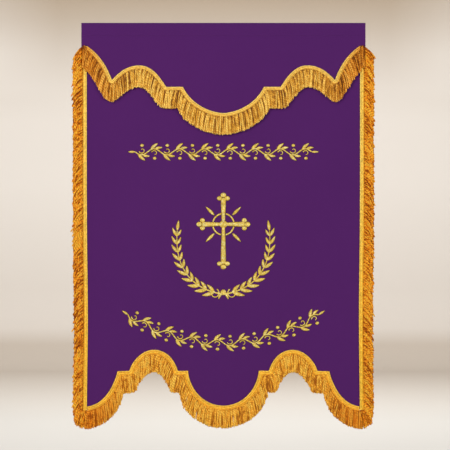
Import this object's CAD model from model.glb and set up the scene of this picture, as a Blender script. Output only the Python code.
"""Looks of a violet church banner: two cloths, gold fringe and gold embroidery, hung in a studio.

Lengths are in metres in the banner's own frame: X across from the middle, Z up from the top
edge, and the embroidered face towards -Y. A drop is a distance below the top edge.
"""

import math
from collections import namedtuple

import bpy
import numpy as np
from bpy.props import FloatProperty, FloatVectorProperty, IntProperty, PointerProperty
from bpy.types import Operator, Panel, PropertyGroup
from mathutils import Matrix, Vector


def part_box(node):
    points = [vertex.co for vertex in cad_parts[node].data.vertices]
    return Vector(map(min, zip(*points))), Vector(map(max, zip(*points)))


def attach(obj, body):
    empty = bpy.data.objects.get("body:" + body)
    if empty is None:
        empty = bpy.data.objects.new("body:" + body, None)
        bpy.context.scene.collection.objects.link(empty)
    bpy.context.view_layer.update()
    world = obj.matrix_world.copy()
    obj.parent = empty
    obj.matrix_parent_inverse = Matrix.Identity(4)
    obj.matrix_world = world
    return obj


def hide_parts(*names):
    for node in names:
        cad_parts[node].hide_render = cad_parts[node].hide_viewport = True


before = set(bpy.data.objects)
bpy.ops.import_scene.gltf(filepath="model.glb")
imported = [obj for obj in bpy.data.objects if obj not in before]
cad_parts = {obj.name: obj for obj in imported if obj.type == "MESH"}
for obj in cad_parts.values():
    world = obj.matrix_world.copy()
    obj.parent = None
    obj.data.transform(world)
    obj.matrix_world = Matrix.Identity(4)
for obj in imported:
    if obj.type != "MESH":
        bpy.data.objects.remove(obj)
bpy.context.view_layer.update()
PANEL_LOW, PANEL_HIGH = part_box("panel")
VALANCE_LOW, VALANCE_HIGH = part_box("valance")
VALANCE_FRINGE_LOW, VALANCE_FRINGE_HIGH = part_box("valance_fringe")

bl_info = {
    "name": "Church Banner",
    "version": (1, 0, 0),
    "blender": (4, 5, 0),
    "location": "View3D > Sidebar > Banner",
    "description": "Cuts, fringes and embroiders a violet church banner",
    "category": "Object",
}

MILLIMETRE = 0.001

# Sizes of the two cloths, as the solids have them
HALF_WIDTH = PANEL_HIGH.x
CLOTH_THICKNESS = VALANCE_HIGH.y - VALANCE_LOW.y
PANEL_FRONT = CLOTH_THICKNESS / 2
VALANCE_BACK = -VALANCE_HIGH.y
VALANCE_BAND_BACK = -VALANCE_FRINGE_HIGH.y
EDGE_BAND_BACK = VALANCE_BACK
WAIST_DEPTH = 0.003
WAIST_DROP = 0.830
WAIST_REACH = 0.200
FLUTE_START_DROP = 0.800
FLUTE_FULL_DROP = 1.060
Flute = namedtuple("Flute", "depth length phase")
FLUTES = (
    Flute(depth=0.0030, length=0.310, phase=0.5),
    Flute(depth=0.0015, length=0.170, phase=2.0),
)

# Sizes of the fringe bands
VALANCE_BAND_WIDTH = 0.0130
HEM_BAND_WIDTH = 0.0150
SIDE_BAND_WIDTH = 0.0125
SIDE_BAND_INNER_X = 0.3845
SIDE_BAND_TOP_DROP = 0.0665
SIDE_BAND_BOTTOM_DROP = 1.0935
CORNER_GAP = 0.0008
CLOTH_UNDER_BAND = 0.6
VALANCE_SIDE_DROP = 0.0640
VALANCE_SIDE_START_X = 0.3820

# Half outlines from the middle outwards, in millimetres, as x from the middle and drop from the
# top: where the line starts, then the curves that it runs through
Curve = namedtuple("Curve", "leave arrive end")
VALANCE_EDGE = (
    (0.0, 254.1),
    Curve(leave=(33.8, 252.7), arrive=(88.5, 233.0), end=(113.8, 180.0)),
    Curve(leave=(130.0, 180.0), arrive=(146.0, 180.0), end=(161.2, 180.0)),
    Curve(leave=(180.0, 150.0), arrive=(201.5, 120.0), end=(236.6, 120.0)),
    Curve(leave=(267.6, 120.0), arrive=(291.0, 135.3), end=(313.5, 161.2)),
    Curve(leave=(328.6, 119.5), arrive=(350.5, 86.5), end=(386.0, 64.0)),
)
HEM_EDGE = (
    (0.0, 1077.9),
    Curve(leave=(53.5, 1077.9), arrive=(95.2, 1032.0), end=(99.4, 979.0)),
    Curve(leave=(108.5, 979.2), arrive=(118.0, 979.4), end=(128.0, 979.4)),
    Curve(leave=(139.4, 941.5), arrive=(164.4, 920.4), end=(195.8, 920.4)),
    Curve(leave=(227.2, 920.4), arrive=(256.3, 949.5), end=(265.0, 979.6)),
    Curve(leave=(276.0, 980.0), arrive=(288.0, 980.5), end=(298.4, 980.9)),
    Curve(leave=(307.0, 1016.5), arrive=(332.4, 1076.0), end=(387.0, 1080.2)),
)
CURVE_STEPS = 60

# The band's three woven ribs: share of the way across it, share of its full relief
Rib = namedtuple("Rib", "across lift")
BAND_RIBS = (
    Rib(across=0.00, lift=0.20),
    Rib(across=0.05, lift=0.85),
    Rib(across=0.15, lift=1.00),
    Rib(across=0.25, lift=0.70),
    Rib(across=0.32, lift=0.02),
    Rib(across=0.39, lift=0.65),
    Rib(across=0.50, lift=0.92),
    Rib(across=0.62, lift=0.65),
    Rib(across=0.68, lift=0.02),
    Rib(across=0.74, lift=0.50),
    Rib(across=0.85, lift=0.75),
    Rib(across=0.94, lift=0.50),
    Rib(across=1.00, lift=0.15),
)
BAND_ROWS = 26
BAND_STEP = 0.003

# Strands: stations along one, how it swells, and the share of the edge's slope that it leans
STRAND_STATIONS = (0.0, 0.13, 0.26, 0.39, 0.52, 0.65, 0.78, 0.90, 0.965, 1.0)
STRAND_SWELL = (0.85, 1.0, 1.02, 1.0, 1.0, 1.02, 1.05, 1.05, 0.85, 0.40)
STRAND_SIDES = 6
EDGE_START_LEAN = 0.30
EDGE_END_LEAN = 0.06
EDGE_LEAN_REACH = 0.028
END_LEAN_REACH = 0.025
OUTWARD_LEAN = 1.8
SLOPE_CROWD = 0.50
SIDE_START_ANGLE = 62.0
SIDE_END_ANGLE = 19.0
SIDE_SHOULDER = 0.025
DROOP_POWER = 1.35
CORNER_FAN_REACH = 0.035
CORNER_CROWD = 2.4
CORNER_TRIM = 0.18
EDGE_ROOT_TUCK = 0.0030
EDGE_TUCK_ALLOWANCE = 0.0013
SIDE_ROOT_TUCK = 0.0006
END_RISE_START = 0.3835
END_RISE_REACH = 0.0050
PARTING_START = 0.388
PARTING_WIDTH = 0.008
RIM_SAMPLES = 6000
LEAN_SAMPLES = 9
START_STRAY = 0.09
END_STRAY = 0.045
CLUMP_STRAY = 0.04
OWN_TONE = 0.15
CLUMP_TONE = 0.10
CRINKLE = 0.0004
CRINKLE_TURN = 9.0
LAYER_DEPTH = 0.0014
THICKNESS_RANGE = (0.9, 1.08)

# A fringe is two rows of strands: a close, dark back one, and a lighter, looser one before it
StrandRow = namedtuple("StrandRow", "crowd forward thickness tone scatter")
STRAND_ROWS = (
    StrandRow(crowd=1.45, forward=0.0, thickness=1.10, tone=-0.36, scatter=0.25),
    StrandRow(crowd=1.20, forward=0.0024, thickness=1.0, tone=0.12, scatter=1.0),
)

# How the strands of a fringe look: change of tone from root to tip, contrast between strands and
# of the flecks along them, how much lighter the looped tips are, how unevenly long they hang,
# how far they stray, how closely the roots of a clump are drawn together, how far the end strands
# start above the band's rim, and how dark roots are where one fringe meets the next
StrandLook = namedtuple(
    "StrandLook", "shade contrast fleck tip raggedness stray gather end_rise parting"
)
VALANCE_LOOK = StrandLook(
    shade=0.15, contrast=1.6, fleck=0.12, tip=0.35, raggedness=0.024,
    stray=0.9, gather=0.34, end_rise=0.010, parting=0.50,
)
HEM_LOOK = StrandLook(
    shade=-0.02, contrast=1.5, fleck=0.20, tip=0.20, raggedness=0.020,
    stray=0.85, gather=0.15, end_rise=0.0, parting=0.0,
)
SIDE_LOOK = StrandLook(
    shade=0.10, contrast=2.2, fleck=0.20, tip=0.25, raggedness=0.045,
    stray=1.2, gather=0.12, end_rise=0.0, parting=0.50,
)
TIP_SPREAD = 0.55

# Where a row of strands starts: places, angles from straight down in radians, lengths, the
# distance of its back, its clumps, the side to which later strands of a clump turn, and how much
# each is darkened at its root
Roots = namedtuple("Roots", "x drop start end length back clumps spread dark")
Clumps = namedtuple("Clumps", "place index apart")

# Sewing that holds the bands: places of its rows across a band, and the size of a stitch
STITCH_ROWS = (0.06, 0.93)
BACK_STITCH_ROWS = (0.06, 0.45)
TOP_SEAM_DROPS = (0.006, 0.036)
STITCH_PITCH = 0.0043
STITCH_LENGTH = 0.0027
STITCH_RADIUS = 0.00028
SEAM_INSET = 0.012
EDGE_SEAM_SAMPLES = 3000
SIDE_SEAM_SAMPLES = 800
TOP_SEAM_SAMPLES = 1200

# Places of the embroidery, from the photographed layout
EMBLEM_DROP = 0.625
UPPER_VINE_DROP = 0.363
VINE_HALF_LENGTH = 0.284
LOWER_VINE_DROP = 0.901
LOWER_VINE_RADIUS = 0.493
LOWER_VINE_HALF_LENGTH = 0.290
STROKE_STATIONS = 18
STROKE_SIDES = 7
OUTLINE_WIDTH = 0.9
EDGING_RELIEF = 0.35


def smooth_step(value):
    """Eases from 0 to 1 as value goes from 0 to 1."""
    share = np.clip(value, 0.0, 1.0)
    return share * share * (3 - 2 * share)


def sway(x, drop):
    """How far the hanging cloth stands back from its flat plane at a place on it."""
    growth = smooth_step((drop - FLUTE_START_DROP) / (FLUTE_FULL_DROP - FLUTE_START_DROP))
    waves = sum(f.depth * np.sin(2 * math.pi * x / f.length + f.phase) for f in FLUTES)
    return growth * waves


def waist(drop):
    """How far each side edge is drawn in at a height."""
    return WAIST_DEPTH * np.exp(-(((drop - WAIST_DROP) / WAIST_REACH) ** 2))


def on_cloth(x, drop, forward):
    """Points that lie forward of the main cloth's middle plane, as rows of x, y, z."""
    x, drop, forward = np.broadcast_arrays(x, drop, forward)
    return np.stack([x, sway(x, drop) - forward, -drop], axis=-1)


def bezier(corners, count):
    """Points along one cubic stretch through four corners."""
    t = np.linspace(0, 1, count)[:, None]
    weights = ((1 - t) ** 3, 3 * (1 - t) ** 2 * t, 3 * (1 - t) * t**2, t**3)
    return sum(weight * np.array(corner, float) for weight, corner in zip(weights, corners))


def lengths_along(points):
    """The distance walked to each point of a line."""
    steps = np.linalg.norm(np.diff(points, axis=0), axis=1)
    return np.concatenate([[0.0], np.cumsum(steps)])


class ShapedEdge:
    """A cloth's shaped lower edge, with the fringe band that is laid along it."""

    def __init__(self, outline, band_width):
        start, *curves = outline
        half = [[start]]
        for curve in curves:
            half.append(bezier((start, *curve), CURVE_STEPS)[1:])
            start = curve.end
        right = np.vstack(half) * MILLIMETRE
        left = right[:0:-1] * (-1, 1)
        self.points = np.vstack([left, right])
        self.along = lengths_along(self.points)
        self.band_width = band_width

    def upper(self, x):
        """The drop of the band's upper rim."""
        return np.interp(x, self.points[:, 0], self.points[:, 1])

    def offset(self, x, width):
        """The drop of a line that runs this far outside the edge."""
        apart = np.asarray(x)[:, None] - self.points[:, 0]
        reach = np.sqrt(np.clip(width**2 - apart**2, 0, None))
        drops = np.where(np.abs(apart) <= width, self.points[:, 1] + reach, -np.inf)
        return np.maximum(self.upper(x) + width, drops.max(axis=1))

    def lower(self, x):
        """The drop of the band's lower rim, where the strands start."""
        return self.offset(x, self.band_width)

    def nearest(self, x, drop):
        """For places below the edge: how far off it they are, how far along, and which way."""
        apart = np.stack([x, drop], axis=-1)[..., None, :] - self.points
        squared = (apart**2).sum(axis=-1)
        best = squared.argmin(axis=-1)
        chosen = np.take_along_axis(apart, best[..., None, None], axis=-2)[..., 0, :]
        return np.sqrt(squared.min(axis=-1)), self.along[best], chosen

    def stations(self, half_width, pitch):
        """Places across the banner, no further apart than a pitch along either rim."""
        x = np.linspace(-half_width, half_width, 4000)
        upper, lower = self.upper(x), self.lower(x)
        steps = np.maximum(
            np.hypot(np.diff(x), np.diff(upper)), np.hypot(np.diff(x), np.diff(lower))
        )
        walked = np.concatenate([[0.0], np.cumsum(steps)])
        count = int(round(walked[-1] / pitch)) + 1
        return np.interp(np.linspace(0, walked[-1], count), walked, x)


VALANCE_LINE = ShapedEdge(VALANCE_EDGE, VALANCE_BAND_WIDTH)
HEM_LINE = ShapedEdge(HEM_EDGE, HEM_BAND_WIDTH)
VALANCE_REACH = 0.3855
PARTING_REACH = 0.3965
HEM_REACH = SIDE_BAND_INNER_X - waist(SIDE_BAND_BOTTOM_DROP - HEM_BAND_WIDTH) - CORNER_GAP
HEM_STRANDS_REACH = 0.3905


# Properties that a user would change
def colour_choice(name, description, default):
    """A colour."""
    return FloatVectorProperty(
        name=name,
        description=description,
        subtype="COLOR",
        size=4,
        min=0.0,
        max=1.0,
        default=default,
    )


def length_choice(name, description, least, most, default):
    """A length between two limits."""
    return FloatProperty(
        name=name, description=description, unit="LENGTH", min=least, max=most, default=default
    )


def power_choice(name, description, default):
    """The power of a light."""
    return FloatProperty(name=name, description=description, unit="POWER", min=0.0, default=default)


class BannerCloth(PropertyGroup):
    """The violet cloth of the panel and the valance"""

    colour: colour_choice(
        "Cloth colour", "Colour of the violet cloth in plain light", (0.0675, 0.0126, 0.1035, 1.0)
    )
    thread_pitch: length_choice(
        "Thread pitch", "Distance between the threads of the weave", 0.0003, 0.005, 0.0009
    )
    cell: length_choice(
        "Mesh cell", "Size of the mesh cells of the two cloths", 0.004, 0.03, 0.009
    )


class BannerFringe(PropertyGroup):
    """The gold fringe: a woven band with twisted strands"""

    pitch: length_choice(
        "Strand pitch", "Distance between strands where they leave the band", 0.0015, 0.01, 0.0040
    )
    radius: length_choice(
        "Strand radius", "Half the thickness of a twisted strand", 0.0005, 0.004, 0.00185
    )
    length: length_choice(
        "Strand length", "Length of a strand below its band", 0.01, 0.1, 0.050
    )
    side_length: length_choice(
        "Side strand length", "Length of a strand at the side edges", 0.01, 0.1, 0.0435
    )
    relief: length_choice(
        "Band relief", "Height of the band's ribs above its back", 0.0005, 0.004, 0.0027
    )
    seed: IntProperty(
        name="Seed",
        description="Picks how the strands stray from one another",
        min=0,
        default=7,
    )


class BannerStitching(PropertyGroup):
    """The gold embroidery"""

    colour: colour_choice(
        "Thread colour", "Colour of the embroidery thread", (0.86, 0.63, 0.085, 1.0)
    )
    glint_colour: colour_choice(
        "Glint colour", "Colour of the thread where it catches the light", (1.0, 0.92, 0.38, 1.0)
    )
    rim_colour: colour_choice(
        "Rim colour",
        "Colour of the thread where it dips to the cloth at the rim of a stroke",
        (0.50, 0.235, 0.016, 1.0),
    )
    relief: length_choice(
        "Padding", "Height of the padded satin stitch above the cloth", 0.0002, 0.004, 0.0013
    )
    thread_pitch: length_choice(
        "Stitch pitch", "Distance between neighbouring stitches", 0.0002, 0.003, 0.0009
    )


class BannerStudio(PropertyGroup):
    """The backdrop, the lights and the camera"""

    wall_colour: colour_choice(
        "Wall colour", "Colour of the wall where it is lightest", (0.71, 0.665, 0.615, 1.0)
    )
    floor_colour: colour_choice(
        "Floor colour", "Colour of the floor where it is lightest", (0.575, 0.56, 0.53, 1.0)
    )
    shade_colour: colour_choice(
        "Shade colour", "Colour of the backdrop at its foot and its top", (0.31, 0.225, 0.142, 1.0)
    )
    key_power: power_choice(
        "Key light", "Power of the large light to the upper left of the camera", 122.0
    )
    fill_power: power_choice(
        "Fill light", "Power of the light to the right of the camera, and of one behind", 77.0
    )
    wall_power: power_choice(
        "Wall light", "Power of the light behind the banner that washes the wall", 204.0
    )
    ambient: FloatProperty(
        name="Ambient light",
        description="Strength of the even light from all round",
        min=0.0,
        default=0.50,
    )


VIOLET_SHINE = (0.70, 0.45, 0.95, 1.0)
GOLD_SHINE = (1.0, 0.62, 0.16, 1.0)
CORNER_WARMTH = (0.85, 0.58, 0.36, 1.0)
LOWER_WARMTH = (1.0, 0.88, 0.50, 1.0)


# Node building
class NodeBench:
    """Adds nodes to a tree, each with its settings and inputs in one call."""

    def __init__(self, tree):
        self.tree = tree

    def add(self, kind, inputs=None, **settings):
        node = self.tree.nodes.new(kind)
        for name, value in settings.items():
            setattr(node, name, value)
        for key, value in (inputs or {}).items():
            self.feed(node.inputs[key], value)
        return node

    def feed(self, socket, value):
        if isinstance(value, bpy.types.NodeSocket):
            self.tree.links.new(value, socket)
        else:
            socket.default_value = value

    def maths(self, operation, first, second=None):
        inputs = {0: first} if second is None else {0: first, 1: second}
        return self.add("ShaderNodeMath", inputs, operation=operation).outputs[0]

    def mix(self, share, first, second, blend="MIX"):
        node = self.add("ShaderNodeMix", data_type="RGBA", blend_type=blend)
        colours = [s for s in node.inputs if s.type == "RGBA"]
        self.feed(node.inputs["Factor"], share)
        self.feed(colours[0], first)
        self.feed(colours[1], second)
        return next(s for s in node.outputs if s.type == "RGBA")

    def object_part(self, axis):
        """One coordinate of the place on the banner."""
        place = self.add("ShaderNodeTexCoord").outputs["Object"]
        return self.add("ShaderNodeSeparateXYZ", {0: place}).outputs[axis]

    def rise(self, value, start, end, most=1.0):
        """Goes from 0 to most as a value goes from start to end."""
        limits = {"Value": value, "From Min": start, "From Max": end, "To Max": most}
        return self.add("ShaderNodeMapRange", limits).outputs["Result"]

    def attribute(self, name):
        return self.add("ShaderNodeAttribute", attribute_name=name).outputs["Fac"]

    def uv(self, name):
        return self.add("ShaderNodeUVMap", uv_map=name).outputs["UV"]


def new_group(name, takes, gives):
    """A shader node group with named sockets, its bench, and its input and output nodes."""
    group = bpy.data.node_groups.new(name, "ShaderNodeTree")
    for label, kind, default in takes:
        socket = group.interface.new_socket(label, in_out="INPUT", socket_type=kind)
        if default is not None:
            socket.default_value = default
    for label, kind in gives:
        group.interface.new_socket(label, in_out="OUTPUT", socket_type=kind)
    bench = NodeBench(group)
    return group, bench, bench.add("NodeGroupInput"), bench.add("NodeGroupOutput")


def ridge(bench, place, pitch):
    """A rounded ridge for every pitch along a coordinate."""
    turns = bench.maths("MULTIPLY", bench.maths("DIVIDE", place, pitch), math.pi)
    return bench.maths("ABSOLUTE", bench.maths("SINE", turns))


def make_thread_rows_group():
    """Rows of thread that lean away from the middle of a stitched or woven shape."""
    takes = [
        ("Coordinates", "NodeSocketVector", None),
        ("Pitch", "NodeSocketFloat", 0.001),
        ("Slant", "NodeSocketFloat", 0.5),
    ]
    gives = [("Height", "NodeSocketFloat")]
    group, bench, given, out = new_group("thread_rows", takes, gives)
    parts = bench.add("ShaderNodeSeparateXYZ", {0: given.outputs["Coordinates"]})
    off_middle = bench.maths("ABSOLUTE", parts.outputs["Y"])
    lean = bench.maths("MULTIPLY", off_middle, given.outputs["Slant"])
    place = bench.maths("ADD", parts.outputs["X"], lean)
    bench.feed(out.inputs["Height"], ridge(bench, place, given.outputs["Pitch"]))
    return group


def make_ply_group():
    """Two yarns twisted round each other: grooves that wind along a strand."""
    takes = [
        ("Coordinates", "NodeSocketVector", None),
        ("Turn", "NodeSocketFloat", 0.006),
    ]
    gives = [("Height", "NodeSocketFloat")]
    group, bench, given, out = new_group("twisted_ply", takes, gives)
    parts = bench.add("ShaderNodeSeparateXYZ", {0: given.outputs["Coordinates"]})
    plies = bench.maths("MULTIPLY", parts.outputs["X"], 2.0)
    turns = bench.maths("DIVIDE", parts.outputs["Y"], given.outputs["Turn"])
    place = bench.maths("ADD", plies, turns)
    bench.feed(out.inputs["Height"], ridge(bench, place, 1.0))
    return group


def make_weave_group():
    """A close twill: slanting ridges crossed by fine weft."""
    takes = [
        ("Coordinates", "NodeSocketVector", None),
        ("Pitch", "NodeSocketFloat", 0.001),
    ]
    gives = [("Height", "NodeSocketFloat")]
    group, bench, given, out = new_group("twill_weave", takes, gives)
    parts = bench.add("ShaderNodeSeparateXYZ", {0: given.outputs["Coordinates"]})
    slanting = bench.maths("ADD", parts.outputs["X"], parts.outputs["Y"])
    warp = ridge(bench, slanting, given.outputs["Pitch"])
    weft = ridge(bench, parts.outputs["Y"], given.outputs["Pitch"])
    bench.feed(out.inputs["Height"], bench.maths("MULTIPLY", warp, weft))
    return group


def make_uneven_dye_group():
    """Slow drifts of lightness over a cloth or yarn."""
    takes = [
        ("Colour", "NodeSocketColor", (0.5, 0.5, 0.5, 1.0)),
        ("Scale", "NodeSocketFloat", 6.0),
        ("Amount", "NodeSocketFloat", 0.1),
    ]
    gives = [("Colour", "NodeSocketColor")]
    group, bench, given, out = new_group("uneven_dye", takes, gives)
    place = bench.add("ShaderNodeTexCoord").outputs["Object"]
    noise = bench.add("ShaderNodeTexNoise", {"Vector": place, "Detail": 3.0})
    bench.feed(noise.inputs["Scale"], given.outputs["Scale"])
    centred = bench.maths("SUBTRACT", noise.outputs["Fac"], 0.5)
    swing = bench.maths("MULTIPLY", centred, given.outputs["Amount"])
    lightness = bench.maths("ADD", 1.0, swing)
    hue = bench.add(
        "ShaderNodeHueSaturation", {"Value": lightness, "Color": given.outputs["Colour"]}
    )
    bench.feed(out.inputs["Colour"], hue.outputs["Color"])
    return group


def use_group(bench, group, inputs):
    node = bench.add("ShaderNodeGroup", node_tree=group)
    for key, value in inputs.items():
        bench.feed(node.inputs[key], value)
    return node


def new_finish(name, roughness, specular=0.3, tint=(1.0, 1.0, 1.0, 1.0), sheen=0.0):
    """A material with its shader's even values set, and a bench to work on it."""
    material = bpy.data.materials.new(name)
    material.use_nodes = True
    shader = material.node_tree.nodes["Principled BSDF"]
    shader.inputs["Roughness"].default_value = roughness
    shader.inputs["Specular IOR Level"].default_value = specular
    shader.inputs["Specular Tint"].default_value = tint
    shader.inputs["Sheen Weight"].default_value = sheen
    shader.inputs["Sheen Roughness"].default_value = 0.4
    shader.inputs["Sheen Tint"].default_value = tint
    return material, shader, NodeBench(material.node_tree)


def dye(bench, shader, colour, scale, amount):
    """Feeds the shader a colour with uneven dye over it."""
    inputs = {"Colour": colour, "Scale": scale, "Amount": amount}
    dyed = use_group(bench, GROUPS["uneven_dye"], inputs)
    bench.feed(shader.inputs["Base Color"], dyed.outputs["Colour"])


def raise_surface(bench, shader, height, distance, strength=1.0):
    """Feeds a height into the shader's normal as bump."""
    inputs = {"Height": height, "Strength": strength, "Distance": distance}
    bump = bench.add("ShaderNodeBump", inputs)
    bench.feed(shader.inputs["Normal"], bump.outputs["Normal"])


def thread_rows(bench, uv, pitch, slant):
    """The height of rows of thread on a band or a stitch."""
    inputs = {"Coordinates": uv, "Pitch": pitch, "Slant": slant}
    return use_group(bench, GROUPS["thread_rows"], inputs).outputs["Height"]


def make_cloth_finish(cloth):
    material, shader, bench = new_finish(
        "violet_cloth", roughness=0.82, specular=0.12, tint=VIOLET_SHINE, sheen=0.06
    )
    inputs = {"Coordinates": bench.uv("cloth"), "Pitch": cloth.thread_pitch}
    height = use_group(bench, GROUPS["twill_weave"], inputs).outputs["Height"]
    deep = [channel * 0.80 for channel in cloth.colour[:3]] + [1.0]
    light = [channel * 1.16 for channel in cloth.colour[:3]] + [1.0]
    dye(bench, shader, bench.mix(height, deep, light), scale=3.0, amount=0.16)
    raise_surface(bench, shader, height, distance=0.00012, strength=0.6)
    return material


def warm_far_out(bench, colour, start, end):
    """Reddens a colour with the distance from the banner's middle, from start to end."""
    across = bench.maths("ABSOLUTE", bench.object_part("X"))
    return bench.mix(bench.rise(across, start, end), colour, CORNER_WARMTH, blend="MULTIPLY")


def make_band_finish(name, colour, shade, warm_ends=False):
    """The woven heading of a fringe: lighter towards its upper rim, darker in its grooves."""
    material, shader, bench = new_finish(name, roughness=0.45, tint=GOLD_SHINE)
    uv = bench.uv("yarn")
    height = thread_rows(bench, uv, pitch=0.0013, slant=0.9)
    depth = bench.maths("MULTIPLY", height, bench.attribute("lift"))
    across = bench.add("ShaderNodeSeparateXYZ", {0: uv}).outputs["Y"]
    pale = [colour[0], min(1.0, colour[1] * 1.15), colour[2] * 1.5, 1.0]
    outer = bench.mix(bench.rise(across, 0.001, 0.006), colour, shade)
    threads = bench.mix(depth, shade, bench.mix(bench.rise(across, -0.007, 0.003), pale, outer))
    down = bench.rise(bench.object_part("Z"), -0.35, -0.95)
    warmed = bench.mix(down, threads, LOWER_WARMTH, blend="MULTIPLY")
    if warm_ends:
        warmed = warm_far_out(bench, warmed, 0.33, 0.39)
    dye(bench, shader, warmed, scale=180.0, amount=1.1)
    raise_surface(bench, shader, height, distance=0.0004)
    return material


def make_strand_finish(name, light, middle, deep):
    """Twisted yarn with a tone for each strand, darker in its grooves and redder far out."""
    material, shader, bench = new_finish(name, roughness=0.42, tint=GOLD_SHINE)
    inputs = {"Coordinates": bench.uv("yarn"), "Turn": 0.0070}
    height = use_group(bench, GROUPS["twisted_ply"], inputs).outputs["Height"]
    ramp = bench.add("ShaderNodeValToRGB", {"Fac": bench.attribute("tone")})
    elements = ramp.color_ramp.elements
    elements[0].position, elements[0].color = 0.0, deep
    elements[1].position, elements[1].color = 1.0, light
    elements.new(0.5).color = middle
    rounded = bench.maths("MULTIPLY", height, height)
    groove = bench.mix(rounded, (0.60, 0.46, 0.34, 1.0), (1.12, 1.12, 1.10, 1.0))
    twisted = bench.mix(1.0, ramp.outputs["Color"], groove, blend="MULTIPLY")
    dye(bench, shader, warm_far_out(bench, twisted, 0.26, 0.37), scale=160.0, amount=0.7)
    raise_surface(bench, shader, height, distance=0.0007)
    return material


def make_stitch_finish(stitching):
    """Padded satin stitch: glints on its crown, and a darker rim where it dips to the cloth."""
    material, shader, bench = new_finish(
        "gold_stitching", roughness=0.33, specular=0.75, tint=(1.0, 0.88, 0.58, 1.0)
    )
    height = thread_rows(bench, bench.uv("yarn"), stitching.thread_pitch, slant=0.6)
    place = bench.add("ShaderNodeTexCoord").outputs["Object"]
    spots = bench.add("ShaderNodeTexNoise", {"Vector": place, "Scale": 240.0, "Detail": 1.0})
    glint = bench.rise(spots.outputs["Fac"], 0.48, 0.68)
    lit = bench.mix(glint, list(stitching.colour), list(stitching.glint_colour))
    gold = bench.mix(bench.attribute("lift"), list(stitching.rim_colour), lit)
    threads = bench.mix(height, (0.50, 0.44, 0.36, 1.0), (1.0, 1.0, 1.0, 1.0))
    threads = bench.mix(1.0, gold, threads, blend="MULTIPLY")
    dye(bench, shader, threads, scale=110.0, amount=1.0)
    raise_surface(bench, shader, height, distance=0.0003)
    return material


def make_outline_finish():
    """The dark cord that edges the embroidery."""
    material, shader, bench = new_finish(
        "outline_thread", roughness=0.6, specular=0.2, tint=GOLD_SHINE
    )
    height = thread_rows(bench, bench.uv("yarn"), pitch=0.0008, slant=0.6)
    threads = bench.mix(height, (0.030, 0.010, 0.012, 1.0), (0.11, 0.052, 0.020, 1.0))
    dye(bench, shader, threads, scale=90.0, amount=0.5)
    raise_surface(bench, shader, height, distance=0.0002)
    return material


GROUPS = {}
FINISHES = {}


def mix_finishes(scene):
    """Builds the shared node groups once, then every finish of the banner."""
    for build in (make_thread_rows_group, make_ply_group, make_weave_group, make_uneven_dye_group):
        group = build()
        GROUPS[group.name] = group
    FINISHES["cloth"] = make_cloth_finish(scene.banner_cloth)
    FINISHES["stitching"] = make_stitch_finish(scene.banner_stitching)
    FINISHES["outline"] = make_outline_finish()
    FINISHES["sewing"] = make_band_finish(
        "sewing_thread", (0.80, 0.42, 0.07, 1.0), (0.55, 0.24, 0.03, 1.0)
    )
    FINISHES["seam"] = make_band_finish(
        "violet_thread", (0.17, 0.06, 0.24, 1.0), (0.09, 0.022, 0.13, 1.0)
    )
    for name, tones in FRINGE_TONES.items():
        FINISHES[name + "_band"] = make_band_finish(
            name + "_band", tones.band, tones.band_shade, warm_ends=name == "valance"
        )
        FINISHES[name + "_strands"] = make_strand_finish(
            name + "_strands", tones.light, tones.middle, tones.deep
        )


# Gold tones of each fringe, which is yellower in front of the cloth and deeper at the edges
FringeTones = namedtuple("FringeTones", "band band_shade light middle deep")
FRINGE_TONES = {
    "valance": FringeTones(
        band=(1.0, 0.73, 0.165, 1.0),
        band_shade=(0.83, 0.43, 0.055, 1.0),
        light=(0.97, 0.67, 0.155, 1.0),
        middle=(0.73, 0.37, 0.044, 1.0),
        deep=(0.19, 0.064, 0.018, 1.0),
    ),
    "hem": FringeTones(
        band=(1.0, 0.72, 0.150, 1.0),
        band_shade=(0.87, 0.43, 0.050, 1.0),
        light=(0.90, 0.57, 0.090, 1.0),
        middle=(0.90, 0.43, 0.040, 1.0),
        deep=(0.38, 0.115, 0.010, 1.0),
    ),
    "side": FringeTones(
        band=(1.0, 0.82, 0.18, 1.0),
        band_shade=(0.88, 0.46, 0.045, 1.0),
        light=(1.0, 0.78, 0.112, 1.0),
        middle=(0.99, 0.485, 0.036, 1.0),
        deep=(0.31, 0.085, 0.007, 1.0),
    ),
}


# Mesh building
Loft = namedtuple("Loft", "rings uv tone")


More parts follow.
